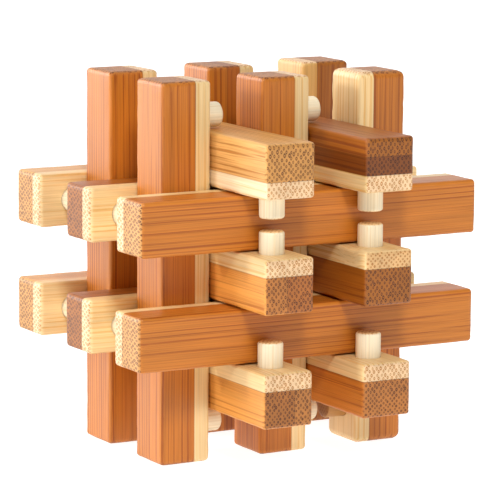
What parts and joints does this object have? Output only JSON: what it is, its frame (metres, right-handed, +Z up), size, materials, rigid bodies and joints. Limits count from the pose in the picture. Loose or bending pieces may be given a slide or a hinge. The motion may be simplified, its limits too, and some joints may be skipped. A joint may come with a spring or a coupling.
{
  "type": "pegged burr puzzle",
  "caption": "Interlocking burr puzzle of square laminated bamboo sticks crossing along all axes, locked by short dowels and opened by drawing out a key stick.",
  "frame": {"origin": "under the centre of the pile, on the plane that the upright sticks' feet stand on", "axes": "+X to the right along the rails, +Y to the back along the beams, +Z up along the posts"},
  "size_m": [0.0756, 0.0752, 0.075],
  "materials": {
    "caramel_bamboo": "fine-sanded carbonised bamboo with a thin satin oil",
    "dark_caramel_bamboo": "fine-sanded carbonised bamboo, darker batch, with a thin satin oil",
    "light_caramel_bamboo": "fine-sanded carbonised bamboo, lighter batch, with a thin satin oil",
    "pale_bamboo": "fine-sanded natural bamboo with a thin satin oil",
    "bamboo_dowel": "turned natural bamboo dowel, matt"
  },
  "bodies": {
    "rail_front_low": {"rail_front_low_core": "caramel_bamboo", "rail_front_low_strip": "pale_bamboo", "rail_front_low_dowels": "bamboo_dowel"},
    "rail_front_high": {"rail_front_high_core": "caramel_bamboo", "rail_front_high_strip": "pale_bamboo", "rail_front_high_dowels": "bamboo_dowel"},
    "rail_middle_low": {"rail_middle_low_core": "dark_caramel_bamboo", "rail_middle_low_strip": "pale_bamboo", "rail_middle_low_dowels": "bamboo_dowel"},
    "rail_middle_high": {"rail_middle_high_core": "dark_caramel_bamboo", "rail_middle_high_strip": "pale_bamboo", "rail_middle_high_dowels": "bamboo_dowel"},
    "rail_back_low": {"rail_back_low_core": "light_caramel_bamboo", "rail_back_low_strip": "pale_bamboo", "rail_back_low_dowels": "bamboo_dowel"},
    "rail_back_high": {"rail_back_high_core": "light_caramel_bamboo", "rail_back_high_strip": "pale_bamboo", "rail_back_high_dowels": "bamboo_dowel"},
    "beam_left_low": {"beam_left_low_core": "caramel_bamboo", "beam_left_low_strip": "pale_bamboo", "beam_left_low_dowels": "bamboo_dowel"},
    "beam_left_middle": {"beam_left_middle_core": "caramel_bamboo", "beam_left_middle_strip": "pale_bamboo", "beam_left_middle_dowels": "bamboo_dowel"},
    "beam_left_high": {"beam_left_high_core": "light_caramel_bamboo", "beam_left_high_strip": "pale_bamboo", "beam_left_high_dowels": "bamboo_dowel"},
    "beam_right_low": {"beam_right_low_core": "caramel_bamboo", "beam_right_low_strip": "pale_bamboo", "beam_right_low_dowels": "bamboo_dowel"},
    "beam_right_middle": {"beam_right_middle_core": "dark_caramel_bamboo", "beam_right_middle_strip": "pale_bamboo", "beam_right_middle_dowels": "bamboo_dowel"},
    "beam_right_high": {"beam_right_high_core": "dark_caramel_bamboo", "beam_right_high_strip": "pale_bamboo", "beam_right_high_dowels": "bamboo_dowel"},
    "post_left_front": {"post_left_front_core": "caramel_bamboo", "post_left_front_strip": "pale_bamboo", "post_left_front_dowels": "bamboo_dowel"},
    "post_left_back": {"post_left_back_core": "caramel_bamboo", "post_left_back_strip": "pale_bamboo", "post_left_back_dowels": "bamboo_dowel"},
    "post_middle_front": {"post_middle_front_core": "caramel_bamboo", "post_middle_front_strip": "pale_bamboo", "post_middle_front_dowels": "bamboo_dowel"},
    "post_middle_back": {"post_middle_back_core": "caramel_bamboo", "post_middle_back_strip": "pale_bamboo", "post_middle_back_dowels": "bamboo_dowel"},
    "key_post": {"key_post_core": "caramel_bamboo", "key_post_strip": "pale_bamboo", "key_post_dowels": "bamboo_dowel"},
    "post_right_back": {"post_right_back_core": "caramel_bamboo", "post_right_back_strip": "pale_bamboo", "post_right_back_dowels": "bamboo_dowel"}
  },
  "joints": [
    {"name": "key_release", "type": "slide", "parent": "key_post", "child": "post_middle_front", "axis": [0, 0, 1], "range_m": [-0.0003, 0.08]},
    {"name": "rail_front_low_play", "type": "slide", "parent": "post_middle_front", "child": "rail_front_low", "axis": [1, 0, 0], "range_m": [0, 0.0006]},
    {"name": "rail_front_high_play", "type": "slide", "parent": "post_middle_front", "child": "rail_front_high", "axis": [1, 0, 0], "range_m": [-0.0003, 0.0003]},
    {"name": "rail_middle_low_play", "type": "slide", "parent": "post_middle_front", "child": "rail_middle_low", "axis": [1, 0, 0], "range_m": [-0.00044, 0.00016]},
    {"name": "rail_middle_high_play", "type": "slide", "parent": "post_middle_front", "child": "rail_middle_high", "axis": [1, 0, 0], "range_m": [-0.0006, 0]},
    {"name": "rail_back_low_play", "type": "slide", "parent": "post_middle_front", "child": "rail_back_low", "axis": [1, 0, 0], "range_m": [-0.00039, 0.00021]},
    {"name": "rail_back_high_play", "type": "slide", "parent": "post_middle_front", "child": "rail_back_high", "axis": [1, 0, 0], "range_m": [-0.00039, 0.00021]},
    {"name": "beam_left_low_play", "type": "slide", "parent": "post_middle_front", "child": "beam_left_low", "axis": [0, 1, 0], "range_m": [-0.0003, 0.0003]},
    {"name": "beam_left_middle_play", "type": "slide", "parent": "post_middle_front", "child": "beam_left_middle", "axis": [0, 1, 0], "range_m": [-0.00016, 0.00044]},
    {"name": "beam_left_high_play", "type": "slide", "parent": "post_middle_front", "child": "beam_left_high", "axis": [0, 1, 0], "range_m": [-0.00021, 0.00039]},
    {"name": "beam_right_low_play", "type": "slide", "parent": "post_middle_front", "child": "beam_right_low", "axis": [0, 1, 0], "range_m": [-0.0003, 0.0003]},
    {"name": "beam_right_middle_play", "type": "slide", "parent": "post_middle_front", "child": "beam_right_middle", "axis": [0, 1, 0], "range_m": [-0.00009, 0.00051]},
    {"name": "beam_right_high_play", "type": "slide", "parent": "post_middle_front", "child": "beam_right_high", "axis": [0, 1, 0], "range_m": [-0.0002, 0.0004]},
    {"name": "post_left_front_play", "type": "slide", "parent": "post_middle_front", "child": "post_left_front", "axis": [0, 0, 1], "range_m": [-0.0003, 0.0003]},
    {"name": "post_left_back_play", "type": "slide", "parent": "post_middle_front", "child": "post_left_back", "axis": [0, 0, 1], "range_m": [-0.0003, 0.0003]},
    {"name": "post_middle_back_play", "type": "slide", "parent": "post_middle_front", "child": "post_middle_back", "axis": [0, 0, 1], "range_m": [-0.0003, 0.0003]},
    {"name": "post_right_back_play", "type": "slide", "parent": "post_middle_front", "child": "post_right_back", "axis": [0, 0, 1], "range_m": [-0.0003, 0.0003]}
  ]
}
